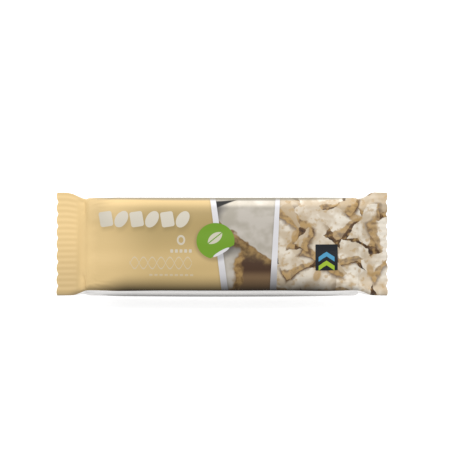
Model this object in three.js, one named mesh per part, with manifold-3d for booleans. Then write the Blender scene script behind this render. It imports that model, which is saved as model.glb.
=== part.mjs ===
// A nougat bar sealed in its flow wrap. One web of film is wrapped round the flat bar, its long edges are
// sealed into a fin that lies folded on the back, and both ends are pressed flat between ribbed jaws and
// cut to a scalloped edge. Nothing shows the inside, so film and bar are one closed solid.
//
// Millimetres, +Z up. The pack lies on its back: X runs along it, the face looks up, and the origin is on
// the table under the middle of the pack.

import * as THREE from 'three';
import { mergeVertices } from 'three/addons/utils/BufferGeometryUtils.js';
import Module from 'manifold-3d';

// Driving sizes of the pack.
const packLength = 150;
const packHeight = 12; // from the table to the crown of the face
const bodyWidth = 45.8; // round the bar
const bodyShift = -0.55; // the bar lies a little to the near side of the film's middle
const sealLength = 11; // of each sealed end
const endWidth = 49.2; // of a sealed end at its cut edge
const nearNeck = 23.9; // from the middle to the near edge of the film where it opens round the bar
const farNeck = 22.5; // and to its far edge
const sealHeight = 7.8; // of the sealed ends above the table

// The sealed ends.
const sealThickness = 0.4; // both layers of film
const ribCount = 18; // ribs pressed along the pack, side by side across the end
const ribDepth = 0.2; // above and below the middle of the film
const ribFadeLength = 2; // the ribs run out over this length
const endDroop = 0.5; // the cut edge hangs this far below the neck
const scallopPitch = 5.7;
const scallopDepth = 0.8;
const scallopSegments = 6;
const cutAllowance = 0.6; // film beyond the cut, which the jaws trim away

// The film round the bar.
const faceSquareness = 3.2; // exponent of the section's rounded upper half
const backSquareness = 6; // its lower half is boxier, because it rests on the table
const sideWall = 1.2; // upright film between the two halves
const sideHeight = 6.2; // of the side wall's middle above the table
const shoulderLength = 9; // the face slopes down to the seal over this length
const finWidth = 10;
const finThickness = 0.45; // three layers of film, folded flat
const finEdge = 0.3; // width over which the fin's edge steps down

// The two ends were pressed a little differently. For each: where its back comes up to the seal, and where
// its near and far edges spread to the full width, as distances from the middle of the pack.
const leftEnd = { backShoulder: [60.5, 68.5], nearFlare: [56.5, 66.5], farFlare: [61.5, 72.5] };
const rightEnd = { backShoulder: [59, 66], nearFlare: [63, 69.5], farFlare: [62.7, 69.7] };

// Soft folds where the film gathers into each seal.
const gatherHeight = 0.35;
const gatherCount = 3.5; // waves across the film
const gatherCrest = 3; // the folds run out from this far before the seal
const gatherPhase = 1.3; // shifts the folds, so that no two of the four rows are alike

// Lines of the mesh along half the pack: each zone ends at a distance from the middle, with its steps.
const halfLength = packLength / 2;
const sealStart = halfLength - sealLength;
const bodyEnd = sealStart - shoulderLength;
const faceShoulder = [bodyEnd, sealStart];
const lengthZones = [
  { end: bodyEnd - shoulderLength, steps: 4 },
  { end: bodyEnd, steps: 4 },
  { end: sealStart, steps: 9 },
  { end: sealStart + 2 * ribFadeLength, steps: 4 },
  { end: halfLength + cutAllowance, steps: 5 },
];

const { lerp, smoothstep, smootherstep } = THREE.MathUtils;

/** Half of a rounded section, from its near edge over the rise to its far edge. */
class HalfSection extends THREE.Curve {
  constructor(halfWidth, rise, squareness) {
    super();
    this.halfWidth = halfWidth;
    this.rise = rise;
    this.softness = 2 / squareness;
    this.arcLengthDivisions = 1200;
  }

  getPoint(t, target = new THREE.Vector2()) {
    const angle = Math.PI * (1 - t);
    const across = Math.cos(angle);
    const y = Math.sign(across) * Math.abs(across) ** this.softness;
    return target.set(this.halfWidth * y, this.rise * Math.sin(angle) ** this.softness);
  }
}

const faceRise = packHeight - sideHeight - sideWall / 2;
const backRise = sideHeight - sideWall / 2 - finThickness;
const faceSection = new HalfSection(bodyWidth / 2, faceRise, faceSquareness);
const backSection = new HalfSection(bodyWidth / 2, backRise, backSquareness);
const finShare = finWidth / backSection.getLength(); // half the fin, where half the film's width is 1
const finEdgeShare = finEdge / backSection.getLength();

/** Distances from the middle to each line of the mesh along the pack, from one cut end to the other. */
function linesAlong() {
  const half = [];
  let start = 0;
  for (const { end, steps } of lengthZones) {
    for (let i = 1; i <= steps; i += 1) half.push(lerp(start, end, i / steps));
    start = end;
  }
  const mirrored = half.map((x) => -x).reverse();
  return [...mirrored, 0, ...half];
}

/** Lines across the film, from -1 to 1: the crest and valley of every rib, and both edges of the fin. */
function linesAcross() {
  const lines = [];
  for (let i = -ribCount; i <= ribCount; i += 1) lines.push(i / ribCount);
  for (const side of [-1, 1]) {
    lines.push(side * (finShare - finEdgeShare), side * (finShare + finEdgeShare));
  }
  return lines.sort((a, b) => a - b);
}

/** Height of the pressed ribs, from -1 in a valley to 1 on a crest. */
function ribWave(across) {
  const turns = (across * ribCount) / 2;
  return 4 * Math.abs(turns - Math.round(turns)) - 1;
}

/** Height of the soft folds beside the seal, before the film opens round the bar. */
function gatherAt(x, across, isFace) {
  const fade = 1 - smoothstep(Math.abs(x), sealStart - gatherCrest, sealStart + ribFadeLength);
  const row = (x > 0 ? 1 : 0) + (isFace ? 2 : 0);
  const wave = Math.cos(2 * Math.PI * gatherCount * across + gatherPhase * row);
  return gatherHeight * fade * wave * (1 - across ** 4);
}

/** Runs from 0 to 1 between two distances from the middle of the pack. */
function runOver(x, [start, end]) {
  return smootherstep(Math.abs(x), start, end);
}

/** Where a point of the film lies across the pack and above the table, in the sealed end. */
function sealPoint(x, across, isFace) {
  const along = Math.abs(x);
  const { nearFlare, farFlare } = x < 0 ? leftEnd : rightEnd;
  const nearReach = lerp(nearNeck, endWidth / 2, runOver(x, nearFlare));
  const farReach = lerp(farNeck, endWidth / 2, runOver(x, farFlare));
  const ribs = ribDepth * smoothstep(along, sealStart, sealStart + ribFadeLength);
  const droop = endDroop * smoothstep(along, sealStart, halfLength);
  const layer = isFace ? sealThickness / 2 : -sealThickness / 2;
  const y = across * (across < 0 ? nearReach : farReach);
  return new THREE.Vector2(y, sealHeight - droop + layer + ribs * ribWave(across));
}

/** The same round the bar. */
function bodyPoint(across, isFace) {
  const point = (isFace ? faceSection : backSection).getPointAt((across + 1) / 2);
  const rise = sideWall / 2 + point.y;
  return new THREE.Vector2(bodyShift + point.x, sideHeight + (isFace ? rise : -rise));
}

/** A point of the film: x along the pack, across from -1 to 1 over the face or the back. */
function filmPoint(x, across, isFace) {
  const { backShoulder } = x < 0 ? leftEnd : rightEnd;
  const opening = 1 - runOver(x, isFace ? faceShoulder : backShoulder);
  const point = sealPoint(x, across, isFace).lerp(bodyPoint(across, isFace), opening);
  const fold = gatherAt(x, across, isFace) * (1 - opening);
  const fin = !isFace && Math.abs(across) < finShare ? finThickness : 0;
  return new THREE.Vector3(x, point.x, point.y + (isFace ? fold : -fold) - fin);
}

/** The closed film: a box whose upper and lower grids become the face and the back. */
function filmGeometry() {
  const along = linesAlong();
  const across = linesAcross();
  const lastAlong = along.length - 1;
  const lastAcross = across.length - 1;
  const box = new THREE.BoxGeometry(lastAlong, lastAcross, 1, lastAlong, lastAcross, 1);
  const position = box.getAttribute('position');
  for (let i = 0; i < position.count; i += 1) {
    const x = along[Math.round(position.getX(i) + lastAlong / 2)];
    const v = across[Math.round(position.getY(i) + lastAcross / 2)];
    position.setXYZ(i, ...filmPoint(x, v, position.getZ(i) > 0));
  }
  return box;
}

/** What the jaws cut from the end at +X: everything beyond a row of round scallops. */
function scallopCutterGeometry() {
  const radius = (scallopPitch ** 2 / 4 + scallopDepth ** 2) / (2 * scallopDepth);
  const halfAngle = Math.asin(scallopPitch / 2 / radius);
  const notch = halfLength - scallopDepth;
  const count = 2 * Math.ceil(endWidth / 2 / scallopPitch) + 1;
  const reach = (count * scallopPitch) / 2;
  const beyond = halfLength + 2 * cutAllowance;
  const outline = new THREE.Shape().moveTo(beyond, reach).lineTo(beyond, -reach).lineTo(notch, -reach);
  for (let i = 0; i < count; i += 1) {
    const middle = (i + 0.5) * scallopPitch - reach;
    outline.absarc(halfLength - radius, middle, radius, -halfAngle, halfAngle, false);
  }
  const geometry = new THREE.ExtrudeGeometry(outline.closePath(), {
    depth: packHeight,
    bevelEnabled: false,
    curveSegments: scallopSegments,
  });
  return geometry;
}

const wasm = await Module();
wasm.setup();

/** A closed three.js geometry as a solid for cutting. */
function solidFrom(geometry) {
  const bare = geometry.clone();
  bare.deleteAttribute('normal');
  bare.deleteAttribute('uv');
  const merged = mergeVertices(bare, 1e-4);
  const vertProperties = merged.getAttribute('position').array;
  return new wasm.Manifold(new wasm.Mesh({ numProp: 3, vertProperties, triVerts: merged.index.array }));
}

/** A solid as a three.js geometry. */
function geometryFrom(solid) {
  const { vertProperties, triVerts } = solid.getMesh();
  const geometry = new THREE.BufferGeometry();
  geometry.setAttribute('position', new THREE.BufferAttribute(vertProperties, 3));
  geometry.setIndex(new THREE.BufferAttribute(triVerts, 1));
  geometry.computeVertexNormals();
  return geometry;
}

const farCut = scallopCutterGeometry();
const nearCut = farCut.clone().rotateZ(Math.PI);
const trimmedFilm = solidFrom(filmGeometry()).subtract(solidFrom(farCut)).subtract(solidFrom(nearCut));

const wrappedBar = new THREE.Mesh(
  geometryFrom(trimmedFilm),
  new THREE.MeshStandardMaterial({ color: 0xd8bd8b, roughness: 0.38, metalness: 0 }),
);
wrappedBar.name = 'wrapped_bar';

const nougatPack = new THREE.Group();
nougatPack.add(wrappedBar);

export default nougatPack;
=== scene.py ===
# %% [markdown]
# # A nougat bar in its flow wrap
# A flow wrap is one web of printed film. A machine wraps it round the bar, welds its long edges into a fin
# along the back, and presses both ends flat between ribbed jaws that also cut them to a scalloped edge.
# The lesson follows the machine: a tube of film, the bar that fills it, the pressed ends, the fin, and last
# the print and the gloss.

# %% Load the fixed frame
from math import cos, pi, radians, sin

import bmesh
import bpy
import numpy as np
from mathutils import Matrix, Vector


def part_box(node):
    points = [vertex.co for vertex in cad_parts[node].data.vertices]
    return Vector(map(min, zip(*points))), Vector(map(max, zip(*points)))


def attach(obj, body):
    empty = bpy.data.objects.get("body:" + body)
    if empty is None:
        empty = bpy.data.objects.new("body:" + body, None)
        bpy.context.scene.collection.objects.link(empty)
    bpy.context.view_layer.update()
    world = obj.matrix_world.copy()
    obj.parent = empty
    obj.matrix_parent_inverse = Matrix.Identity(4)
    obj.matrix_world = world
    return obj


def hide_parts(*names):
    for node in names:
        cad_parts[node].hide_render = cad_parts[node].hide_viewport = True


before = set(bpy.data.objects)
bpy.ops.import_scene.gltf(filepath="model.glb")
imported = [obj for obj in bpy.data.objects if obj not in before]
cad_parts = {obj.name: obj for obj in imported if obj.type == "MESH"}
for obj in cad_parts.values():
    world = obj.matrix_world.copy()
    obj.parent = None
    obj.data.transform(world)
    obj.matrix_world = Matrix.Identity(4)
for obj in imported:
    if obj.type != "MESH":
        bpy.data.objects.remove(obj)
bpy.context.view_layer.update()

MM = 0.001
low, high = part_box("wrapped_bar")
LENGTH = high.x - low.x
HALF_LENGTH = LENGTH / 2
END_WIDTH = high.y - low.y
HEIGHT = high.z
print("pack, in mm:", [round(side / MM, 1) for side in high - low])

# %% [markdown]
# ## Camera
# A pack shot is taken with a long lens from far off, so that the far edge of the pack looks as wide as the
# near one. The camera looks down steeply on the face, with a little of the near side wall still in view. Its
# distance follows from the lens and from how much of the table the picture shows.

# %% Camera
IMAGE_SIDE = 452  # in pixels, as are the next two values
PACK_ON_IMAGE = 331.0  # between the two cut ends
PACK_CENTRE_ON_IMAGE = (222.1, 243.7)
CAMERA_ELEVATION = radians(72)
LONG_LENS = 1500
NEAREST_SEEN = 0.1
FARTHEST_SEEN = 40
SEAL_HEIGHT = 7.8 * MM  # of the end seals above the table

pixel = LENGTH / PACK_ON_IMAGE
bpy.ops.object.camera_add()
camera = bpy.context.object
camera.name = "camera"
camera.data.lens = LONG_LENS
camera.data.clip_start = NEAREST_SEEN
camera.data.clip_end = FARTHEST_SEEN
half_view = camera.data.sensor_width / 2 / camera.data.lens
distance = IMAGE_SIDE * pixel / 2 / half_view
towards_camera = Vector((0, -cos(CAMERA_ELEVATION), sin(CAMERA_ELEVATION)))
aim = Vector((
    (IMAGE_SIDE / 2 - PACK_CENTRE_ON_IMAGE[0]) * pixel,
    (PACK_CENTRE_ON_IMAGE[1] - IMAGE_SIDE / 2) * pixel / sin(CAMERA_ELEVATION),
    SEAL_HEIGHT,
))
camera.location = aim + towards_camera * distance
camera.rotation_euler = towards_camera.to_track_quat("Z", "Y").to_euler()
bpy.context.scene.camera = camera
print(f"camera is {distance:.2f} m from the pack")

# %% [markdown]
# ## Table and light
# The pack lies on a white table that glows a little, as a light table does, so that hardly any shadow is
# left round the pack. A large soft light hangs behind it, so the far shoulder of the film is brighter than
# the near one. A pale room lights the side wall.

# %% Table
TABLE_SIDE = 6
TABLE_WHITE = (0.9, 0.9, 0.9, 1)
TABLE_ROUGHNESS = 0.9
TABLE_GLOW = 0.46
WHITE = (1, 1, 1, 1)


def material_with(name):
    """A new material, and its main shader."""
    material = bpy.data.materials.new(name)
    material.use_nodes = True
    return material, material.node_tree.nodes["Principled BSDF"]


bpy.ops.mesh.primitive_plane_add(size=TABLE_SIDE)
table = bpy.context.object
table.name = "table"
table_finish, table_shader = material_with("white_table")
table_shader.inputs["Base Color"].default_value = TABLE_WHITE
table_shader.inputs["Roughness"].default_value = TABLE_ROUGHNESS
table_shader.inputs["Emission Color"].default_value = WHITE
table_shader.inputs["Emission Strength"].default_value = TABLE_GLOW
table.data.materials.append(table_finish)

# %% Light
LAMP_PLACE = (0, 0.9, 0.9)
LAMP_SIDE = 0.9
LAMP_POWER = 11.5
ROOM_STRENGTH = 0.62

bpy.ops.object.light_add(type="AREA", location=LAMP_PLACE)
lamp = bpy.context.object
lamp.name = "main_light"
lamp.data.shape = "SQUARE"
lamp.data.size = LAMP_SIDE
lamp.data.energy = LAMP_POWER
lamp.rotation_euler = Vector(LAMP_PLACE).to_track_quat("Z", "Y").to_euler()
room = bpy.data.worlds.new("pale_room")
room.use_nodes = True
background = room.node_tree.nodes["Background"]
background.inputs["Color"].default_value = WHITE
background.inputs["Strength"].default_value = ROOM_STRENGTH
bpy.context.scene.world = room
bpy.context.scene.view_settings.view_transform = "Standard"
print(f"lamp is {Vector(LAMP_PLACE).length:.2f} m from the pack")

# %% [markdown]
# ## The tube of film
# The film could be drawn as a pillow, but it is a tube that was squeezed flat at both ends, and it looks
# right when it is made as one. So it starts as an open cylinder whose long edges are cut into rings. Every
# ring is then laid round the bar, and towards the ends it is pressed flat. Nothing happens to the film in the
# middle of the bar, so the rings stand far apart there, and close together over the shoulders.

# %% Selecting
def deselect_all():
    if bpy.context.object and bpy.context.object.mode != "OBJECT":
        bpy.ops.object.mode_set(mode="OBJECT")
    bpy.ops.object.select_all(action="DESELECT")


def pick(piece):
    """Selects one piece alone, so that an operator acts on nothing else."""
    deselect_all()
    piece.select_set(True)
    bpy.context.view_layer.objects.active = piece


# %% Points of a piece, and soft steps
def positions(piece):
    """The places of a piece's vertices, one row each."""
    flat = np.empty(len(piece.data.vertices) * 3)
    piece.data.vertices.foreach_get("co", flat)
    return flat.reshape(-1, 3)


def place(piece, where):
    """Moves a piece's vertices to the given rows."""
    piece.data.vertices.foreach_set("co", where.ravel())
    piece.data.update()


def smooth_step(start, end, value):
    """0 before start, 1 after end, and smooth in between."""
    share = np.clip((value - start) / (end - start), 0, 1)
    return share * share * (3 - 2 * share)


def smoother_step(start, end, value):
    """The same with a softer start and end."""
    share = np.clip((value - start) / (end - start), 0, 1)
    return share**3 * (share * (share * 6 - 15) + 10)


# %% Rings along the pack
# Each zone's end in mm from the middle, and about how far apart its rings are.
RING_ZONES = ((46, 2.3), (52, 1.2), (68, 0.57), (75, 0.78))


def ring_places():
    """The rings' distances from the middle of the pack, from one end to the other."""
    half = [0.0]
    for end, step in RING_ZONES:
        count = round((end - half[-1]) / step)
        half += list(np.linspace(half[-1], end, count + 1)[1:])
    return np.array([-x for x in half[:0:-1]] + half) * MM


rings = ring_places()
print(len(rings), "rings, the closest", round(np.diff(rings).min() / MM, 2), "mm apart")

# %% An open cylinder, cut into rings
def edit_edges(piece, chosen):
    """Opens a piece for editing with only the chosen edges selected."""
    pick(piece)
    bpy.ops.object.mode_set(mode="EDIT")
    bpy.ops.mesh.select_mode(type="EDGE")
    bpy.ops.mesh.select_all(action="DESELECT")
    shell = bmesh.from_edit_mesh(piece.data)
    for edge in shell.edges:
        edge.select = bool(chosen(edge))
    bmesh.update_edit_mesh(piece.data)


def runs_lengthwise(edge):
    """True for an edge along the pack."""
    return abs(edge.verts[0].co.x - edge.verts[1].co.x) > MM


def open_tube(name, around, lengths):
    """A tube along the pack with no ends, with so many points round it and so many lengths of faces."""
    deselect_all()
    bpy.ops.mesh.primitive_cylinder_add(
        vertices=around, radius=END_WIDTH / 2, depth=LENGTH, end_fill_type="NOTHING", rotation=(0, pi / 2, 0)
    )
    tube = bpy.context.object
    tube.name = name
    bpy.ops.object.transform_apply(rotation=True)
    tube.rotation_euler.x = pi / around
    bpy.ops.object.transform_apply(rotation=True)
    # One subdivide makes at most 100 cuts, so the tube is quartered first.
    for parts in (4, lengths // 4):
        edit_edges(tube, runs_lengthwise)
        bpy.ops.mesh.subdivide(number_cuts=parts - 1)
        bpy.ops.object.mode_set(mode="OBJECT")
    print(name + ":", lengths + 1, "rings of", around, "points, in all", len(tube.data.vertices))
    return tube


RIB_COUNT = 18
STRIPS_PER_RIB = 4
ACROSS = RIB_COUNT * STRIPS_PER_RIB + 1  # points across the face, and as many across the back
film = open_tube("film", 2 * ACROSS, len(rings) - 1)

# %% Where each point belongs on the film
def ring_numbers(tube_places):
    """The ring that each point of a new tube lies in."""
    ends = [-HALF_LENGTH, HALF_LENGTH]
    return np.round(np.interp(tube_places[:, 0], ends, [0, len(rings) - 1])).astype(int)


where = positions(film)
x = rings[ring_numbers(where)]
turn = np.arctan2(where[:, 2], where[:, 1])
is_face = turn > 0
column = np.round((pi - np.abs(turn)) / pi * ACROSS - 0.5)
across = column / (ACROSS - 1) * 2 - 1  # from -1 at the near edge to 1 at the far edge

# %% [markdown]
# ## Laid round the bar
# Round the bar the film has a rounded face and a boxier back, each drawn as one half of a superellipse: a
# circle whose exponent makes it squarer. Its points are spread evenly along the film, not across the pack,
# because film doesn't stretch. In the sealed ends the same points lie flat, one layer on the other. Every
# ring is a mix of the two, and the mix changes over the shoulder, where the bar ends.

# %% The section round the bar
BODY_WIDTH = 45.8 * MM
BODY_SHIFT = -0.55 * MM  # the bar lies a little to the near side
BODY_TAPER = 0.01  # share of its width that it loses towards the ends
BOW = 0.3 * MM  # the pack is bent a little, with its middle to the near side
SIDE_HEIGHT = 6.2 * MM  # middle of the upright side wall
SIDE_WALL = 1.2 * MM
FILM_STACK = 0.16 * MM  # both layers of an end seal
FIN_THICKNESS = 0.45 * MM
FACE_RISE = HEIGHT - SIDE_HEIGHT - SIDE_WALL / 2
BACK_RISE = SIDE_HEIGHT - SIDE_WALL / 2 - FIN_THICKNESS
FACE_SQUARENESS = 3.2
BACK_SQUARENESS = 6
SECTION_SAMPLES = 8001


def half_section(rise, squareness):
    """A superellipse's upper half, as places across and up, spread evenly along the film, and its length."""
    angle = np.linspace(pi, 0, SECTION_SAMPLES)
    soft = 2 / squareness
    y = BODY_WIDTH / 2 * np.sign(np.cos(angle)) * np.abs(np.cos(angle)) ** soft
    z = rise * np.abs(np.sin(angle)) ** soft
    run = np.concatenate([[0], np.cumsum(np.hypot(np.diff(y), np.diff(z)))])
    even = np.linspace(0, run[-1], ACROSS)
    return np.interp(even, run, y), np.interp(even, run, z), run[-1]


face_y, face_z, face_length = half_section(FACE_RISE, FACE_SQUARENESS)
back_y, back_z, back_length = half_section(BACK_RISE, BACK_SQUARENESS)
print(f"film across the face {face_length / MM:.1f} mm, across the back {back_length / MM:.1f} mm")

# %% The film between the bar and the sealed ends
SEAL_LENGTH = 11 * MM
SEAL_START = HALF_LENGTH - SEAL_LENGTH
NEAR_NECK = 24.3 * MM  # from the middle to the near edge, where the film is narrowest
FAR_NECK = 22.7 * MM
END_DROOP = 0.5 * MM  # how much lower the cut ends lie
# Stretches over which the face and the back come down to the seal and each edge of the film spreads to the
# seal's full width, as distances from the middle: first for the end on the left, then for the other one.
FACE_SHOULDERS = ((55 * MM, 64 * MM), (55 * MM, 64 * MM))
BACK_SHOULDERS = ((60.5 * MM, 68.5 * MM), (59 * MM, 66 * MM))
NEAR_FLARES = ((56.5 * MM, 66.5 * MM), (63 * MM, 69.5 * MM))
FAR_FLARES = ((61.5 * MM, 72.5 * MM), (62.7 * MM, 69.7 * MM))


def each_end(x, stretches):
    """Runs from 0 to 1 over the stretch of the end that each point is nearer to."""
    along = np.abs(x)
    return np.where(x < 0, smoother_step(*stretches[0], along), smoother_step(*stretches[1], along))


def film_place(x, across, is_face):
    """Where points of the smooth film lie across the pack and above the table."""
    along = np.abs(x)
    side = np.where(is_face, 1, -1)
    near_reach = NEAR_NECK + (END_WIDTH / 2 - NEAR_NECK) * each_end(x, NEAR_FLARES)
    far_reach = FAR_NECK + (END_WIDTH / 2 - FAR_NECK) * each_end(x, FAR_FLARES)
    seal_y = across * np.where(across < 0, near_reach, far_reach)
    seal_z = SEAL_HEIGHT - END_DROOP * smooth_step(SEAL_START, HALF_LENGTH, along) + side * FILM_STACK / 2
    share = (across + 1) / 2 * (ACROSS - 1)
    points = np.arange(ACROSS)
    bar_y = np.where(is_face, np.interp(share, points, face_y), np.interp(share, points, back_y))
    bar_z = np.where(is_face, np.interp(share, points, face_z), np.interp(share, points, back_z))
    bar_y = bar_y * (1 - BODY_TAPER * (along / SEAL_START) ** 2) + BODY_SHIFT
    bar_z = bar_z + SIDE_WALL / 2
    opening = 1 - np.where(is_face, each_end(x, FACE_SHOULDERS), each_end(x, BACK_SHOULDERS))
    y = seal_y + (bar_y - seal_y) * opening - BOW * opening * (1 - (along / SEAL_START) ** 2)
    z = seal_z + (SIDE_HEIGHT + side * bar_z - seal_z) * opening
    return y, z


# %% The smooth film
y, z = film_place(x, across, is_face)
print(f"smooth film: {np.ptp(y) / MM:.1f} mm across, {np.ptp(z) / MM:.1f} mm high")

# %% [markdown]
# ## Loose over the shoulders
# Over the shoulders the film has nowhere to go and gathers into small creases. Creases that are drawn one by
# one look drawn, so the film moves there as cloth. It is held on the bar, in the seals and under the fin, it
# grows a little in between, and the air outside presses it on a stand-in for the bar. The solver is made for
# cloth that is metres wide, so the film is twenty times its size while it moves.

# %% A stand-in for the bar
SOLVER_SCALE = 20
BAR_HALF_LENGTH = 61.5 * MM
BAR_STRAIGHT = 54 * MM  # from here to its ends it keeps one section
BAR_INSET = 0.5 * MM  # between the smooth film and the bar
BAR_ROUNDING = 4 * MM
ROUNDING_STRIPS = 5
END_EDGES = radians(60)  # only the edges round the two ends are sharper than this
BAR_POINTS = 128
BAR_LENGTHS = 24
BAR_SKIN = 0.3 * MM  # the film stops this far from it
BAR_GRIP = 5


def apply_modifier(piece, kind, **settings):
    """Adds a modifier with these settings and applies it."""
    pick(piece)
    modifier = piece.modifiers.new(kind.lower(), kind)
    for setting, value in settings.items():
        setattr(modifier, setting, value)
    bpy.ops.object.modifier_apply(modifier=modifier.name)


def close_ends(tube):
    """Puts a face on each end of a tube."""
    for end in (-1, 1):
        edit_edges(tube, lambda edge: edge.is_boundary and edge.verts[0].co.x * end > 0)
        bpy.ops.mesh.edge_face_add()
        bpy.ops.object.mode_set(mode="OBJECT")


bar = open_tube("bar", BAR_POINTS, BAR_LENGTHS)
bar_where = positions(bar)
bar_x = bar_where[:, 0] * BAR_HALF_LENGTH / HALF_LENGTH
bar_turn = np.arctan2(bar_where[:, 2], bar_where[:, 1])
bar_across = 1 - 2 * np.abs(bar_turn) / pi
bar_y, bar_z = film_place(bar_x.clip(-BAR_STRAIGHT, BAR_STRAIGHT), bar_across, bar_turn > 0)
bar_y = BODY_SHIFT + (bar_y - BODY_SHIFT) * (1 - 2 * BAR_INSET / BODY_WIDTH)
bar_z = SIDE_HEIGHT + (bar_z - SIDE_HEIGHT) * (1 - 2 * BAR_INSET / HEIGHT)
place(bar, np.stack([bar_x, bar_y, bar_z], axis=1) * SOLVER_SCALE)
close_ends(bar)
apply_modifier(
    bar,
    "BEVEL",
    width=BAR_ROUNDING * SOLVER_SCALE,
    segments=ROUNDING_STRIPS,
    limit_method="ANGLE",
    angle_limit=END_EDGES,
)
bar.modifiers.new("collision", "COLLISION")
bar.collision.thickness_outer = BAR_SKIN * SOLVER_SCALE
bar.collision.cloth_friction = BAR_GRIP

# %% Where the film is held
HELD_ON_BAR = (47 * MM, 53 * MM)  # it comes loose between these distances from the middle
HELD_IN_SEAL = (63.5 * MM, 66 * MM)
HELD_UNDER_FIN = 6 * MM


def weigh(piece, name, weights):
    """A vertex group with these weights, in steps of a hundredth."""
    group = piece.vertex_groups.new(name=name)
    hundredths = np.round(weights * 100).astype(int)
    for level in np.unique(hundredths[hundredths > 0]):
        group.add(np.nonzero(hundredths == level)[0].tolist(), level / 100, "REPLACE")


held = 1 - smooth_step(*HELD_ON_BAR, np.abs(x)) + smooth_step(*HELD_IN_SEAL, np.abs(x))
held = np.where(~is_face & (np.abs(y) < HELD_UNDER_FIN), 1, held)
weigh(film, "held", held)
weigh(film, "loose", 1 - held)
print(f"{(held < 1).mean():.0%} of the film's points can move")

# %% The film settles
SETTLE_FRAMES = 20
GROWTH = 0.03
OUTSIDE_PRESSURE = 1.5
FILM_SKIN = 0.15 * MM

smooth_film = np.stack([x, y, z], axis=1)
place(film, smooth_film * SOLVER_SCALE)
cloth = film.modifiers.new("cloth", "CLOTH")
cloth.point_cache.frame_end = SETTLE_FRAMES
cloth.collision_settings.collision_quality = 3
cloth.collision_settings.distance_min = FILM_SKIN * SOLVER_SCALE
web = cloth.settings
web.quality = 6
web.mass = 0.1
web.air_damping = 2
web.tension_stiffness = 80
web.compression_stiffness = 80
web.shear_stiffness = 40
web.bending_stiffness = 2
web.tension_damping = 15
web.compression_damping = 15
web.shear_damping = 10
web.bending_damping = 2
web.effector_weights.gravity = 0
web.vertex_group_mass = "held"
web.vertex_group_shrink = "loose"
web.shrink_min = 0
web.shrink_max = -GROWTH
web.use_pressure = True
web.uniform_pressure_force = -OUTSIDE_PRESSURE
for frame_number in range(1, SETTLE_FRAMES + 1):
    bpy.context.scene.frame_set(frame_number)
pick(film)
bpy.ops.object.modifier_apply(modifier="cloth")
bpy.context.scene.frame_set(1)
bpy.data.objects.remove(bar)
film.vertex_groups.clear()
place(film, positions(film) / SOLVER_SCALE)
moved = np.linalg.norm(positions(film) - smooth_film, axis=1)
print(f"the film moved {moved.mean() / MM:.2f} mm on average and {moved.max() / MM:.2f} mm at most")

# %% [markdown]
# ## Ribs, scallops and waves
# The jaws press the same ribs into both layers of a seal, and their knives cut the edge to round scallops.
# Where the film lies on the bar it isn't quite flat either. All of this is relief in the mesh, because bump
# alone would leave the cut edge straight. A subdivision surface comes first. It makes the creases round and
# gives each rib eight strips of faces, and each new point learns from its neighbours where on the film it is.

# %% Rounder film
def store(piece, name, values):
    """Keeps a number with each point of a piece."""
    attribute = piece.data.attributes.new(name, "FLOAT", "POINT")
    attribute.data.foreach_set("value", values.astype(np.float32))


def take(piece, name):
    """The numbers kept with the points of a piece, which no longer keeps them."""
    attribute = piece.data.attributes[name]
    values = np.empty(len(attribute.data), np.float32)
    attribute.data.foreach_get("value", values)
    piece.data.attributes.remove(attribute)
    return values.astype(float)


store(film, "x", x)
store(film, "across", across)
store(film, "side", np.where(is_face, 1, -1))
apply_modifier(film, "SUBSURF", levels=1)
x = take(film, "x")
across = take(film, "across")
side = take(film, "side")  # 1 on the face, -1 on the back and 0 between them
print("film:", len(x), "points")

# %% Ribs and scallops
RIB_DEPTH = 0.055 * MM
RIB_RUN_OUT = 3.5 * MM
SCALLOP_PITCH = 5.7 * MM
SCALLOP_DEPTH = 0.8 * MM
SCALLOP_PULL = 4 * MM  # the rings this close to the cut follow the scallops


def ribs(x, across):
    """Height of the pressed ribs, which run along the pack."""
    strength = smooth_step(SEAL_START, SEAL_START + RIB_RUN_OUT, np.abs(x))
    return RIB_DEPTH * strength * np.cos(pi * RIB_COUNT * across)


def scalloped(x, y):
    """The same place along the pack, drawn in where the cut edge runs between two scallops."""
    turns = y / SCALLOP_PITCH
    notch = SCALLOP_DEPTH * (2 * (turns - np.round(turns))) ** 2
    pull = smooth_step(HALF_LENGTH - SCALLOP_PULL, HALF_LENGTH, np.abs(x))
    return x - np.sign(x) * notch * pull


# %% Slack film on the bar
WAVE_HEIGHT = 0.045 * MM
WAVE_LENGTHS = (34 * MM, 23 * MM, 15 * MM, 11 * MM)
WAVE_HEADING = 0.5  # radians to either side of straight across
WAVE_BEND = 0.6
BEND_LENGTH = 60 * MM
WAVE_RUN_OUT = 4 * MM
WAVE_SEED = 3


def waves(x, y):
    """Long low waves in the film that lies on the bar."""
    draw = np.random.default_rng(WAVE_SEED)
    height = np.zeros(len(x))
    for wave_length in WAVE_LENGTHS:
        heading = draw.uniform(-WAVE_HEADING, WAVE_HEADING)
        start = draw.uniform(0, 2 * pi)
        bend = WAVE_BEND * np.sin(2 * pi * y / BEND_LENGTH + start)
        run = x * np.sin(heading) + y * np.cos(heading)
        height += np.sin(2 * pi * run / wave_length + start + bend)
    return WAVE_HEIGHT * height * (1 - smooth_step(SEAL_START - WAVE_RUN_OUT, SEAL_START, np.abs(x)))


# %% The shaped film
relief = positions(film)
slack = 1 - across**6  # the waves die out at the sides
relief[:, 2] += side * waves(x, relief[:, 1]) * slack + ribs(x, across)
relief[:, 0] = scalloped(relief[:, 0], relief[:, 1])
place(film, relief)
print(f"waves of at most {WAVE_HEIGHT * len(WAVE_LENGTHS) / MM:.2f} mm, ribs of {RIB_DEPTH / MM:.3f} mm")

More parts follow.
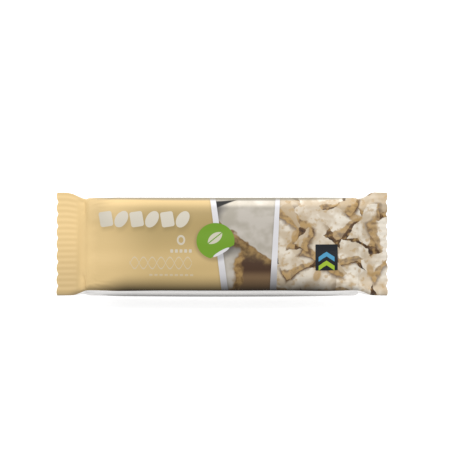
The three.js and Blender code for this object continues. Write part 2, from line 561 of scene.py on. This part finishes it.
# %% [markdown]
# ## The cut ends
# A knife cuts both layers of a seal at once, so its edge is thin and square. The tube is still open there.
# Each end could be filled with one large face, but that would be long, thin and not flat. A bridge from the
# face's row of edges to the back's gives small, even faces instead. Smooth shading would round off the cut,
# so its edges are marked sharp.

# %% Close the two cut ends
def cut_row(end):
    """A test for the open edges of one end that lie wholly in the face or wholly in the back."""
    def test(edge):
        sides = [side[vertex.index] for vertex in edge.verts]
        return edge.is_boundary and sides[0] == sides[1] and edge.verts[0].co.x * end > 0
    return test


for end in (-1, 1):
    edit_edges(film, cut_row(end))
    bpy.ops.mesh.bridge_edge_loops()
    bpy.ops.object.mode_set(mode="OBJECT")
edit_edges(film, lambda edge: True)
bpy.ops.mesh.fill_holes(sides=3)
closed_film = bmesh.from_edit_mesh(film.data)
print("open edges left in the film:", sum(edge.is_boundary for edge in closed_film.edges))
bpy.ops.object.mode_set(mode="OBJECT")

# %% Smooth film with sharp cuts
CUT_TOLERANCE = 0.01 * MM

pick(film)
bpy.ops.object.shade_smooth()
at_cut = np.abs(x) > HALF_LENGTH - CUT_TOLERANCE
edit_edges(film, lambda edge: all(at_cut[vertex.index] for vertex in edge.verts))
bpy.ops.mesh.mark_sharp()
bpy.ops.object.mode_set(mode="OBJECT")

# %% [markdown]
# ## The print's own map
# A pattern that is printed on film bends with it, so the print needs a map of the flat film. Here the map is
# simply written down: each point of the tube knows how far along and how far across the film it lies, in
# metres. The seam of the map runs along the middle of the back, under the fin.

# %% The print's map, in metres on the flat film
PRINT_MAP = "print"
PRINT_EDGE = 22.55 * MM  # on both shoulders of the bar, and at the edges of the seals
PRINT_SPREAD = (58 * MM, 71 * MM)  # the print grows to the seals' full width between these

half_girth = face_length / 2 + SIDE_WALL + back_length / 2
in_seal = smooth_step(*PRINT_SPREAD, np.abs(x))
flat_face = across * (face_length / 2 * (1 - in_seal) + PRINT_EDGE * in_seal)
flat_back = np.where(across < 0, -1, 1) * (half_girth - np.abs(across) * back_length / 2)
flat_across = (flat_face * (1 + side) + flat_back * (1 - side)) / 2


def write_print_map(piece, places):
    """Gives a piece the print's map, from one place on the flat film for each corner of its faces."""
    piece.data.uv_layers[0].name = PRINT_MAP
    piece.data.uv_layers[PRINT_MAP].uv.foreach_set("vector", places.astype(np.float32).ravel())


def corner_points(piece):
    """The point that each corner of a piece's faces stands on."""
    points = np.empty(len(piece.data.loops), int)
    piece.data.loops.foreach_get("vertex_index", points)
    return points


film_corners = corner_points(film)
print_places = np.stack([x[film_corners], flat_across[film_corners]], axis=1)
for face in film.data.polygons:
    corners = list(face.loop_indices)
    if at_cut[film_corners[corners]].all():
        # The cut edge is as bare as the back.
        print_places[corners, 1] = half_girth
    elif np.ptp(print_places[corners, 1]) > half_girth:
        # A face on the seam has corners at both ends of the map, so all are brought to one end.
        print_places[corners, 1] = np.abs(print_places[corners, 1]) * np.sign(face.center.y)
write_print_map(film, print_places)
print(f"the film is {2 * half_girth / MM:.1f} mm wide when flat")

# %% [markdown]
# ## The fin on the back
# The two long edges of the web are welded face to face. The weld stands off the back as a fin, and a wheel
# folds it down to one side. A thin box would show the right outline, but the fold on one side is round and
# the other side is a cut edge, so the fin is a second, smaller tube: its upper half lies on the film, and its
# lower half bulges at the fold and thins out towards the cut.

# %% The fin's own section
FIN_WIDTH = 10 * MM
FIN_POINTS = 40  # across its upper half, and as many across its lower half
FIN_CUT = 0.13 * MM  # thickness at the cut edge
FIN_FOLD = 0.38 * MM  # and at the fold

fin = open_tube("back_fin", 2 * FIN_POINTS, len(rings) - 1)
fin_where = positions(fin)
fin_x = rings[ring_numbers(fin_where)]
fin_turn = np.arctan2(fin_where[:, 2], fin_where[:, 1])
fin_y = -np.cos(fin_turn) * FIN_WIDTH / 2
fin_share = (fin_y + FIN_WIDTH / 2) / FIN_WIDTH
fin_thickness = FIN_CUT + (FIN_FOLD - FIN_CUT) * fin_share
round_off = np.sqrt(1 - np.clip((fin_y - FIN_WIDTH / 2) / (FIN_FOLD / 2) + 1, 0, 1) ** 2)
print(f"fin: {fin_thickness.min() / MM:.2f} to {fin_thickness.max() / MM:.2f} mm thick")

# %% The fin laid on the back
FIN_RIB_PITCH = 1.25 * MM
FIN_RIB_DEPTH = 0.03 * MM
FIN_SHARP_EDGES = radians(50)

_, back_under = film_place(fin_x, fin_y / (BODY_WIDTH / 2), np.zeros(len(fin_x), bool))
under = np.where(fin_turn > 0, 0, -1)
fin_ribs = FIN_RIB_DEPTH * np.cos(2 * pi * fin_x / FIN_RIB_PITCH)
fin_z = back_under + ribs(fin_x, fin_y / (END_WIDTH / 2)) - 0.5 * fin_thickness * (1 - round_off)
fin_z += under * (fin_thickness * round_off + fin_ribs)
place(fin, np.stack([scalloped(fin_x, fin_y), fin_y, fin_z], axis=1))
close_ends(fin)
pick(fin)
bpy.ops.object.shade_smooth_by_angle(angle=FIN_SHARP_EDGES)
fin_corners = corner_points(fin)
write_print_map(fin, np.stack([fin_x[fin_corners], np.full(len(fin_corners), half_girth)], axis=1))
print("back_fin:", len(fin.data.polygons), "faces")

# %% [markdown]
# ## The print
# The print is drawn in the shader, in millimetres on the flat film: u runs along the pack and w across it.
# Each motif is a simple shape, given as the distance to its edge, and is laid over what is there already.
# A small class lets nodes be written as sums, so that the shapes read as arithmetic.

# %% Nodes written as sums
film_finish, film_shader = material_with("printed_film")
tree = film_finish.node_tree


class Field:
    """A number or a colour that the shader works out for each place on the film."""

    def __init__(self, socket):
        self.socket = socket

    def __add__(self, other):
        return calculate("ADD", self, other)

    def __sub__(self, other):
        return calculate("SUBTRACT", self, other)

    def __rsub__(self, other):
        return calculate("SUBTRACT", other, self)

    def __mul__(self, other):
        return calculate("MULTIPLY", self, other)

    def __truediv__(self, other):
        return calculate("DIVIDE", self, other)

    def __neg__(self):
        return self * -1

    def __abs__(self):
        return calculate("ABSOLUTE", self)

    __radd__ = __add__
    __rmul__ = __mul__


def connect(value, entry):
    """Sets an input of a node to a field or to a plain value."""
    if isinstance(value, Field):
        tree.links.new(value.socket, entry)
    else:
        entry.default_value = value


def calculate(operation, *values):
    """One step of arithmetic."""
    node = tree.nodes.new("ShaderNodeMath")
    node.operation = operation
    for value, entry in zip(values, node.inputs):
        connect(value, entry)
    return Field(node.outputs["Value"])


# %% Changes from one value or colour to another
def ramp(value, start, end, low=0.0, high=1.0):
    """Runs smoothly from low to high while the value runs from start to end."""
    node = tree.nodes.new("ShaderNodeMapRange")
    node.interpolation_type = "SMOOTHSTEP"
    names = ("Value", "From Min", "From Max", "To Min", "To Max")
    for name, number in zip(names, (value, start, end, low, high)):
        connect(number, node.inputs[name])
    return Field(node.outputs["Result"])


def blend(under, share, over):
    """Lays one colour over another, as far as the share says."""
    node = tree.nodes.new("ShaderNodeMix")
    node.data_type = "RGBA"
    colours = [entry for entry in node.inputs if entry.type == "RGBA"]
    connect(share, node.inputs["Factor"])
    connect(under, colours[0])
    connect(over, colours[1])
    return Field(next(result for result in node.outputs if result.type == "RGBA"))


def shade(colour, factor):
    """Makes a colour darker or brighter."""
    node = tree.nodes.new("ShaderNodeVectorMath")
    node.operation = "SCALE"
    connect(colour, node.inputs["Vector"])
    connect(factor, node.inputs["Scale"])
    return Field(node.outputs["Vector"])


# %% Places on the film
map_node = tree.nodes.new("ShaderNodeUVMap")
map_node.uv_map = PRINT_MAP
split = tree.nodes.new("ShaderNodeSeparateXYZ")
tree.links.new(map_node.outputs["UV"], split.inputs["Vector"])
u = Field(split.outputs["X"]) / MM
w = Field(split.outputs["Y"]) / MM


def turn_round(a, b, degrees):
    """Turns two distances into those along a direction and square to it."""
    along = a * cos(radians(degrees)) + b * sin(radians(degrees))
    return along, b * cos(radians(degrees)) - a * sin(radians(degrees))


def at(u0, w0, degrees=0):
    """Distances from one place."""
    return turn_round(u - u0, w - w0, degrees)


def in_row(u0, w0, count, pitch, degrees=0):
    """Distances from the nearest of a row of places, of which the first is given."""
    number = calculate("ROUND", (u - u0) / pitch)
    number = calculate("MINIMUM", calculate("MAXIMUM", number, 0), count - 1)
    return turn_round(u - u0 - number * pitch, w - w0, degrees)


# %% Shapes on the film
EDGE = 0.1  # mm over which one ink gives way to the next


def length(a, b):
    """Length of the diagonal."""
    return calculate("SQRT", a * a + b * b)


def oval(place, half_length, half_width):
    """Distance to the edge of an ellipse, negative inside."""
    return (length(place[0] / half_length, place[1] / half_width) - 1) * min(half_length, half_width)


def block(place, half_length, half_width, corner):
    """Distance to the edge of a rectangle with round corners, negative inside."""
    beyond_length = calculate("MAXIMUM", abs(place[0]) - (half_length - corner), 0)
    beyond_width = calculate("MAXIMUM", abs(place[1]) - (half_width - corner), 0)
    return length(beyond_length, beyond_width) - corner


def both(first, second):
    """Distance to the edge of what two shapes share."""
    return calculate("MAXIMUM", first, second)


def either(first, second):
    """Distance to the edge of two shapes taken together."""
    return calculate("MINIMUM", first, second)


def inside(distance, soft=EDGE):
    """1 inside a shape and 0 outside it."""
    return ramp(distance, soft / 2, -soft / 2)


# %% Random spots on the film
def plane(place, size):
    """Two distances as a place on a pattern of this size."""
    node = tree.nodes.new("ShaderNodeCombineXYZ")
    connect(place[0] / size, node.inputs["X"])
    connect(place[1] / size, node.inputs["Y"])
    return Field(node.outputs["Vector"])


def noise(place, size, detail=2.0):
    """Soft random spots of this size, from 0 to 1."""
    node = tree.nodes.new("ShaderNodeTexNoise")
    node.noise_dimensions = "2D"
    node.inputs["Scale"].default_value = 1
    node.inputs["Detail"].default_value = detail
    connect(plane(place, size), node.inputs["Vector"])
    return Field(node.outputs["Fac"])


# %% [markdown]
# ## The ground, the title and the small print
# The ground is gold, pale at the end of the pack and deeper towards its middle. The title and the small print
# are printed over it in a pale ink. Here they are patterns: sweets for the title, and a ring, dashes and a
# braid under it. What comes again and again could be drawn once for each place. Instead each row measures
# from the nearest of its places, so that it takes no more nodes than a single motif.

# %% The gold ground
GOLD_LIGHT = (0.81, 0.59, 0.285, 1)
GOLD_DARK = (0.42, 0.305, 0.125, 1)
# Stretches over which the gold gets deeper along the pack, and those over which it gets paler across it:
# towards the far side this is a painted highlight on the far shoulder.
OVER_SHOULDER = (-63, -55)
TOWARDS_MIDDLE = (-56, -28)
FAR_SHOULDER_PAINTED_HIGHLIGHT = (13.5, 21.5)
TOWARDS_NEAR_SIDE = (6, -8)

depth_along = ramp(u, *OVER_SHOULDER, high=0.38) + ramp(u, *TOWARDS_MIDDLE, high=0.62)
# Paler towards the far side: a painted highlight on the far shoulder.
depth_across = 1 - ramp(w, *FAR_SHOULDER_PAINTED_HIGHLIGHT, high=0.8) - ramp(w, *TOWARDS_NEAR_SIDE, high=0.38)
ink = blend(GOLD_LIGHT, depth_along * depth_across, GOLD_DARK)
print("the gold is palest before u =", OVER_SHOULDER[0], "mm")

# %% A row of sweets in place of a title
PALE_INK = (0.6, 0.555, 0.46, 1)
TITLE_START = (-52.6, 11.2)
SWEET_PITCH = 13.9
SWEETS_OF_A_KIND = 3
SQUARE_HALF_SIZE = (2.9, 3.7)
SQUARE_CORNER = 1.1
SQUARE_TILT = 9
ALMOND_HALF_SIZE = (4.3, 2.7)
ALMOND_TILT = 62
TITLE_SHADOW_SHIFT = (0.6, -1.5)
TITLE_SHADOW_BLUR = 3
TITLE_SHADOW_DEPTH = 0.2


def title(u0, w0):
    """Distance to the edge of a row of squares and almonds by turns, of which the first is here."""
    squares = in_row(u0, w0, SWEETS_OF_A_KIND, SWEET_PITCH, SQUARE_TILT)
    almonds = in_row(u0 + SWEET_PITCH / 2, w0, SWEETS_OF_A_KIND, SWEET_PITCH, ALMOND_TILT)
    return either(block(squares, *SQUARE_HALF_SIZE, SQUARE_CORNER), oval(almonds, *ALMOND_HALF_SIZE))


title_shadow = title(TITLE_START[0] + TITLE_SHADOW_SHIFT[0], TITLE_START[1] + TITLE_SHADOW_SHIFT[1])
ink = shade(ink, 1 - TITLE_SHADOW_DEPTH * inside(title_shadow, TITLE_SHADOW_BLUR))
ink = blend(ink, inside(title(*TITLE_START)), PALE_INK)
print("sweets in the title:", 2 * SWEETS_OF_A_KIND)

# %% Small ornaments
RING_MIDDLE = (-18.6, 1.2)
RING_HALF_SIZE = (1.5, 1.9)
HALF_RING_LINE = 0.4
DASHES = (-22.8, -4, 5, 2.1)  # the place of the first one, how many there are, and their pitch
THIN_DASHES = (-32.2, -15.3, 9, 2.3)
CORNER = 0.3  # of small motifs
BRAID_MIDDLE = (-27.8, -9.7)
BRAID_HALF_SIZE = (14.1, 4)
BRAID_CROSSING = -13.6  # its strands cross here and at every half pitch from here
BRAID_PITCH = 8
BRAID_SWING = 2.7
HALF_STRAND = 0.35
STRONG = 0.85  # shares of pale ink
FAINT = 0.45

ring = abs(oval(at(*RING_MIDDLE), *RING_HALF_SIZE)) - HALF_RING_LINE
dashes = block(in_row(*DASHES), 0.65, 0.8, CORNER)
thin_dashes = block(in_row(*THIN_DASHES), 0.75, 0.45, CORNER)
over_braid = w - BRAID_MIDDLE[1]
swing = calculate("SINE", (u - BRAID_CROSSING) * (2 * pi / BRAID_PITCH)) * BRAID_SWING
strands = either(abs(over_braid - swing), abs(over_braid + swing)) - HALF_STRAND
braid = both(strands, block(at(*BRAID_MIDDLE), *BRAID_HALF_SIZE, CORNER))
ink = blend(ink, STRONG * inside(either(ring, dashes)), PALE_INK)
ink = blend(ink, FAINT * inside(either(braid, thin_dashes)), PALE_INK)
print("nodes in the ground, the title and the small print:", len(tree.nodes))

# %% [markdown]
# ## The pictures
# The pack shows what is in it: a broken piece of nougat between two strips, and a heap of pieces past them.
# An image texture could show them in every detail, but at this size noise does as well, and it needs no file.
# A coarse noise, the cloud, makes straight edges wobble like broken ones, and a fine one, the grain, makes
# nuts and crumbs. What lies at the bottom is painted first.

# %% Strips and noise that the pictures share
CLOUD_SIZE = 7
GRAIN_SIZE = 2.4
GRAIN_DETAIL = 3
MEAN_NOISE = 0.5  # taken off a noise that moves an edge, so that it moves it to both sides alike
# Each strip: where it crosses the middle line of the pack, and how much it leans.
FIRST_STRIP = (-1.55, -0.1234)
SECOND_STRIP = (24.16, 0.0494)


def past_strip(crossing, lean):
    """Distance along the pack from the middle of a strip."""
    return u - crossing - lean * w


past_first_strip = past_strip(*FIRST_STRIP)
past_second_strip = past_strip(*SECOND_STRIP)
cloud = noise(at(0, 0), CLOUD_SIZE)
grain = noise(at(0, 0), GRAIN_SIZE, GRAIN_DETAIL)
print("spots in mm:", CLOUD_SIZE, "in the cloud,", GRAIN_SIZE, "in the grain")

# %% The picture between the strips: a broken piece of nougat
NOUGAT = (0.495, 0.455, 0.4, 1)
NOUGAT_SHADE = (0.4, 0.365, 0.305, 1)
CRUMB_LIGHT = (0.36, 0.225, 0.083, 1)
CRUMB_DARK = (0.15, 0.082, 0.028, 1)
HOLLOW = (0.06, 0.028, 0.013, 1)
BROWN = (0.19, 0.115, 0.057, 1)
NEARLY_BLACK = (0.004, 0.003, 0.003, 1)
WOBBLE = 6
SLAB_EDGE = (12, -0.5, -38)  # a place on the edge, and the edge's angle in degrees
BLOCK_EDGE = (10, -13, 78)
BLOCK_CRUST = 4.5

wobble = (cloud - MEAN_NOISE) * WOBBLE
below_slab = wobble - at(*SLAB_EDGE)[1]
into_block = at(*BLOCK_EDGE)[1] + wobble
crumb = blend(CRUMB_DARK, ramp(grain, 0.2, 0.75), CRUMB_LIGHT)
cut_face = blend(NOUGAT_SHADE, ramp(cloud, 0.3, 0.65), NOUGAT)
shaded_face = shade(cut_face, ramp(w, -2, -9, 0.4, 1.0))
shaded_crumb = shade(crumb, ramp(below_slab, 6, 0, 0.4, 0.85))
picture = blend(HOLLOW, ramp(w, -12.5, -17), BROWN)
picture = blend(picture, inside(-into_block, 2), crumb)
picture = blend(picture, inside(BLOCK_CRUST - into_block, 1.5), shaded_face)
picture = blend(picture, inside(below_slab - 7 + 0.2 * u, 2.5), shaded_crumb)
picture = blend(picture, inside(below_slab, 0.8), cut_face)

# %% Shadows beside the first strip
FAR_RIM = (20.9, 20.2)  # of the print, where there is no shadow

shadow_reach = 4 + ramp(w, 12.5, 17, high=4)
shadow_depth = ramp(w, 7, 16, high=0.75) * ramp(w, *FAR_RIM)
picture = shade(picture, 1 - ramp(past_first_strip, shadow_reach, 1.2) * shadow_depth)
dark_corner = both(at(-2.5, 20.2, 6)[1], -at(5, 20.3, 25)[1])
print("nodes up to the first picture:", len(tree.nodes))

# %% The places of a heap of broken pieces
# Each piece: its middle, half its length, half its width, its angle in degrees, how pale it is and how dark
# its shadow. The last ones lie on top.
PIECES = (
    (28, 19, 9, 6, -34, 0.3, 0.4),
    (45, 21, 10, 5, 6, 1.0, 0.5),
    (63, 19, 7, 5, -12, 0.4, 0.9),
    (74, 19, 6, 6, 38, 0.3, 0.7),
    (28, -18, 8, 6, -18, 0.8, 0.6),
    (44, -19, 9, 7, 10, 0.7, 0.6),
    (60, -18, 8, 7, -8, 1.0, 0.6),
    (74, -16, 6, 8, 24, 0.8, 0.5),
    (27, 3, 8, 7, 66, 0.8, 0.6),
    (41, 12, 9, 6, -42, 0.6, 0.9),
    (54, 12, 8, 6, 34, 0.9, 1.0),
    (66, 9, 9, 5, 76, 0.9, 0.8),
    (75, 2, 9, 6, -80, 1.0, 0.6),
    (35, -8, 9, 5, 20, 0.7, 1.0),
    (47, -4, 9, 5, -28, 0.6, 0.9),
    (60, -5, 7, 5, -6, 1.0, 1.0),
    (70, -9, 6, 4, 40, 0.9, 0.7),
    (31, 12, 6, 3, -50, 0.0, 0.8),
    (58, 19, 5, 2.5, 52, 0.0, 1.0),
    (38, 2, 5, 2.5, 64, 0.2, 0.9),
    (52, -13, 5, 2.5, -36, 0.1, 0.8),
)
# Each whole almond: its middle and its angle.
ALMONDS = ((60.5, 12, 15), (43, -15.5, 70), (33, 3, 80), (67, -12, 100))
print("in the heap:", len(PIECES), "pieces and", len(ALMONDS), "whole almonds")

# %% The heap, painted from the bottom up
HEAP_LIGHT = (0.75, 0.69, 0.59, 1)
HEAP_SHADE = (0.42, 0.31, 0.18, 1)
ALMOND = (0.42, 0.265, 0.1, 1)
GAP = (0.035, 0.017, 0.008, 1)
PIECE_SHADOW = (0.11, 0.055, 0.02, 1)
PIECE_TAPER = 0.25
BREAK_SIZE = 6
BREAK_DETAIL = 4
BREAK_DEPTH = 4
SMALL_ALMOND_HALF_SIZE = (2.9, 1.6)

rough_u = u + (noise(at(4, 8), BREAK_SIZE, BREAK_DETAIL) - MEAN_NOISE) * BREAK_DEPTH
rough_w = w + (noise(at(-9, 3), BREAK_SIZE, BREAK_DETAIL) - MEAN_NOISE) * BREAK_DEPTH
heap = blend(GAP, ramp(grain, 0.35, 0.65), CRUMB_DARK)
broken_side = blend(CRUMB_DARK, ramp(grain, 0.25, 0.62), ALMOND)
for u0, w0, half_length, half_width, degrees, pallor, depth in PIECES:
    along, over = turn_round(rough_u - u0, rough_w - w0, degrees)
    edge = both(abs(along) - half_length, abs(over) + PIECE_TAPER * along - half_width)
    shadow = ramp(over, half_width / 2, -half_width, high=depth) * ramp(edge, 2, 0)
    lit_side = ramp(over, -half_width, half_width, high=0.15)
    pale_share = ramp(cloud, 0.35, 0.65, 0.3 * pallor, pallor) + lit_side
    piece_ink = blend(HEAP_SHADE, pale_share, HEAP_LIGHT)
    piece_ink = blend(piece_ink, ramp(over, 2.8 - half_width, 2 - half_width, high=0.85), broken_side)
    heap = blend(heap, shadow, PIECE_SHADOW)
    heap = blend(heap, inside(edge, 0.3), piece_ink)
heap = blend(heap, ramp(grain, 0.53, 0.72, high=0.55), ALMOND)
for almond_place in ALMONDS:
    almond = oval(at(*almond_place), *SMALL_ALMOND_HALF_SIZE)
    heap = blend(heap, 0.75 * inside(almond, 0.8), ALMOND)
print("nodes up to the heap:", len(tree.nodes))

# %% Painted highlight along the far shoulder
# Where the film turns down towards the lamp, and how much brighter the painted highlight makes each part of
# the print there.
FAR_SHOULDER = (16.5, 19)
GOLD_GLEAM = 0.12
PICTURE_GLEAM = 0.85
HEAP_GLEAM = 0.3
STRIP_GLEAM = 0.25

painted_gleam = ramp(w, *FAR_SHOULDER)
picture = shade(picture, 1 + PICTURE_GLEAM * painted_gleam * ramp(w, 21.4, 20))
picture = blend(picture, inside(dark_corner, 0.7), NEARLY_BLACK)
# The heap's lower right is painted brighter as well.
painted_near_gleam = 0.25 * ramp(w, -13, -19) * ramp(u, 36, 50)
heap = shade(heap, 1 + HEAP_GLEAM * painted_gleam + painted_near_gleam)
ink = shade(ink, 1 + GOLD_GLEAM * painted_gleam * ramp(u, -60, -46))
print("the far shoulder gets brighter from w =", FAR_SHOULDER[0], "to", FAR_SHOULDER[1], "mm")

# %% [markdown]
# ## Strips, sticker and label
# Two silvery strips frame the first picture. A round green sticker with a peeling edge sits on the first one,
# and a small dark label on the heap. A leaf and two chevrons fill them. Each is one or two shapes, laid over
# what is there, and the strips and the sticker have a soft shadow that lifts them off the ground.

# %% Pictures and strips laid on the gold
STRIP_INK = (0.66, 0.65, 0.67, 1)
STRIP_SHADE = (0.4, 0.39, 0.4, 1)
STRIP_SHADOW_DEPTH = 0.25
STRIP_SHADOW_BLUR = 1.6
STRIP_SHADOW_MARGIN = 0.3
# Half of each strip's width at the middle line, and how much less it is for each mm towards the far side.
FIRST_STRIP_WIDTH = (1.37, 0.0048)
SECOND_STRIP_WIDTH = (1.235, 0.0109)


def strip(past, half_width, taper):
    """Distance to the edge of a strip, from the distance past its middle."""
    return abs(past) - (half_width - taper * w)


pictures = blend(picture, inside(-past_second_strip), heap)
ink = blend(ink, inside(-past_first_strip), pictures)
first_strip = strip(past_first_strip, *FIRST_STRIP_WIDTH)
strips = either(first_strip, strip(past_second_strip, *SECOND_STRIP_WIDTH))
strip_ink = blend(STRIP_INK, ramp(w, -9, -16) * ramp(u, 0, 15, low=0.35), STRIP_SHADE)
ink = shade(ink, 1 - STRIP_SHADOW_DEPTH * inside(strips - STRIP_SHADOW_MARGIN, STRIP_SHADOW_BLUR))
# The strips also get the painted highlight of the far shoulder.
ink = blend(ink, inside(strips), shade(strip_ink, 1 + STRIP_GLEAM * painted_gleam))
print("nodes up to the strips:", len(tree.nodes))

# %% A round sticker with a leaf
GREEN = (0.145, 0.3, 0.012, 1)
STICKER_MIDDLE = (-3, 0.8)
STICKER_RADIUS = 8.6
STICKER_SHADOW_MIDDLE = (-3.5, 0)
STICKER_SHADOW_RADIUS = 8.8
STICKER_SHADOW_DEPTH = 0.35
STICKER_SHADOW_BLUR = 2.5
CURL = (-0.4, -4.6, 31)  # the middle and the angle of the edge that peels off
CURL_HALF_SIZE = (4.2, 0.75)
LEAF = (-3.2, 2.2, 40)
LEAF_RADIUS = 5.2  # of the two circles that share the leaf
LEAF_SPREAD = 3  # from the leaf's middle line to the middle of each
LEAF_SHARE = 0.9
HALF_VEIN = 0.25

curl = at(*CURL)
sticker = both(oval(at(*STICKER_MIDDLE), STICKER_RADIUS, STICKER_RADIUS), -curl[1])
sticker_shadow = oval(at(*STICKER_SHADOW_MIDDLE), STICKER_SHADOW_RADIUS, STICKER_SHADOW_RADIUS)
leaf = at(*LEAF)
leaf_shape = both(
    oval((leaf[0], leaf[1] - LEAF_SPREAD), LEAF_RADIUS, LEAF_RADIUS),
    oval((leaf[0], leaf[1] + LEAF_SPREAD), LEAF_RADIUS, LEAF_RADIUS),
)
vein = abs(leaf[1]) - HALF_VEIN
ink = shade(ink, 1 - STICKER_SHADOW_DEPTH * inside(sticker_shadow, STICKER_SHADOW_BLUR))
ink = blend(ink, inside(sticker), GREEN)
ink = blend(ink, LEAF_SHARE * inside(both(leaf_shape, -vein)), PALE_INK)
ink = blend(ink, inside(oval(curl, *CURL_HALF_SIZE)), STRIP_INK)
print("sticker:", 2 * STICKER_RADIUS, "mm across")

# %% A dark label with two chevrons
LABEL = (0.006, 0.008, 0.012, 1)
BLUE = (0.07, 0.3, 0.5, 1)
LIME = (0.33, 0.48, 0.03, 1)
LABEL_MIDDLE = (47.3, -7.2)
LABEL_HALF_SIZE = (5.05, 6.2)
CHEVRONS = ((1.6, BLUE), (-2.6, LIME))  # height of each one's peak over the label's middle
CHEVRON_SLOPE = 0.7
HALF_CHEVRON = 1.1
CHEVRON_REACH = 3.6

label = at(*LABEL_MIDDLE)
ink = blend(ink, inside(block(label, *LABEL_HALF_SIZE, CORNER)), LABEL)
for peak, colour in CHEVRONS:
    chevron = abs(label[1] - peak + CHEVRON_SLOPE * abs(label[0])) - HALF_CHEVRON
    ink = blend(ink, inside(both(chevron, abs(label[0]) - CHEVRON_REACH)), colour)
print("label:", 2 * LABEL_HALF_SIZE[0], "by", 2 * LABEL_HALF_SIZE[1], "mm")

# %% [markdown]
# ## Painted shade at the rim of the print
# Film that turns down over a shoulder mirrors what stands round the pack, and a pale room alone leaves it too
# bright. More lamps and screens could mend that, but they would also change the face. So the ink itself is
# painted darker along the near shoulder: a painted shade that is deepest in the middle of the bar, with a
# little more at the left end.

# %% Painted shade towards the edges of the print
NEAR_RIM = 22.3  # mm from the middle line, where the ink is at its darkest
NEAR_CURVE = 1.7  # above 1, the ink gets darker late and fast
DEPTH_AT_ENDS = 0.5
DEPTH_GAINED = 0.42  # in the middle of the bar

inward = ramp(abs(u), 62, 42)
start = 6 * inward - 20
painted_rim_shade = calculate("MAXIMUM", (start - w) / (start + NEAR_RIM), 0)
painted_rim_shade = calculate("POWER", calculate("MINIMUM", painted_rim_shade, 1), NEAR_CURVE)
ink = shade(ink, 1 - painted_rim_shade * (DEPTH_AT_ENDS + DEPTH_GAINED * inward))
# Painted shade on the left seal, deepest at its near side, and on the far half of the left shoulder.
left_end_painted_shade = 0.22 * ramp(u, -63, -66) * ramp(w, 10, -22)
left_shoulder_painted_shade = 0.09 * ramp(u, -61.8, -60) * ramp(u, -49, -57) * ramp(w, 6, 11)
ink = shade(ink, 1 - left_end_painted_shade)
ink = shade(ink, 1 - left_shoulder_painted_shade)
print("nodes up to the darker rim:", len(tree.nodes))

# %% [markdown]
# ## White film beyond the print
# The print covers the face only. Side walls and back are bare white film, and painted shade goes on there
# too: a darker line along the far fold, the middle of the bar a little darker, and the near side wall darker
# towards its foot. A small dark mark on the back tells the machine where to cut. The edge of the print could
# be dead straight, but the web is pulled a little as it is wrapped, so the edge wanders by half a millimetre.

# %% White film beyond the print
WHITE_FILM = (0.97, 0.95, 0.93, 1)
# The far fold's darker line is painted shade.
FAR_FOLD_SHADE = (0.3, 0.27, 0.21, 1)  # a darker line where the film turns down on the far side
FOLD_MIDDLE = 23
MARK = (0.3, 0.25, 0.2, 1)
MARK_MIDDLE = (-52, -38)
MARK_HALF_SIZE = (3, 1.5)
# Stretches over which the painted shade on the near side wall deepens, deepens more at its foot, and gives
# way to white again on the back.
NEAR_WALL = (-23.2, -25.5)
NEAR_WALL_FOOT = (-25.8, -27.5)
BACK_STARTS = (-32, -29)

on_bar = ramp(abs(u), 62, 50)
mid_bar = ramp(u, -58, -40) * ramp(u, 58, 20)
near_wall_painted_shade = (0.2 + 0.23 * mid_bar) * ramp(w, *NEAR_WALL) + 0.3 * on_bar * ramp(w, *NEAR_WALL_FOOT)
plain = blend(WHITE_FILM, ramp(abs(w - FOLD_MIDDLE), 1.4, 0.6) * on_bar, FAR_FOLD_SHADE)
# Painted shade: the white film a little darker along the middle of the bar.
plain = shade(plain, 1 - 0.09 * mid_bar)
plain = shade(plain, 1 - near_wall_painted_shade * ramp(w, *BACK_STARTS))
plain = blend(plain, inside(block(at(*MARK_MIDDLE), *MARK_HALF_SIZE, 0.2)), MARK)

# %% The print laid on the white film
FOLD_STARTS = (20.7, 22.3)
FOLD_SHADE_SHARE = 0.85

fold_shift = ramp(abs(u - 8), 58, 25, high=0.5)
edge_wander = ramp(abs(u), 22, 55, -0.08, 0.5)
# The painted shade line of the far fold reaches onto the print.
ink = blend(ink, FOLD_SHADE_SHARE * ramp(w + fold_shift, *FOLD_STARTS) * on_bar, FAR_FOLD_SHADE)
ink = blend(plain, inside(abs(w) - PRINT_EDGE / MM - edge_wander), ink)
connect(ink, film_shader.inputs["Base Color"])
print("nodes in the whole print:", len(tree.nodes))

# %% [markdown]
# ## Gloss
# Printed film has a satin gloss with a fine tremble in it. It could be relief like the ribs, but it is too
# small for the mesh, so this is bump.

# %% The film's finish
FILM_ROUGHNESS = 0.42
FILM_GLOSS = 0.2
TREMBLE_STRENGTH = 0.25
TREMBLE_HEIGHT = 0.05 * MM

film_shader.inputs["Roughness"].default_value = FILM_ROUGHNESS
film_shader.inputs["Specular IOR Level"].default_value = FILM_GLOSS
bump = tree.nodes.new("ShaderNodeBump")
bump.inputs["Strength"].default_value = TREMBLE_STRENGTH
bump.inputs["Distance"].default_value = TREMBLE_HEIGHT
connect(grain, bump.inputs["Height"])
tree.links.new(bump.outputs["Normal"], film_shader.inputs["Normal"])
for piece in (film, fin):
    piece.data.materials.append(film_finish)
    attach(piece, "root")
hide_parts("wrapped_bar")
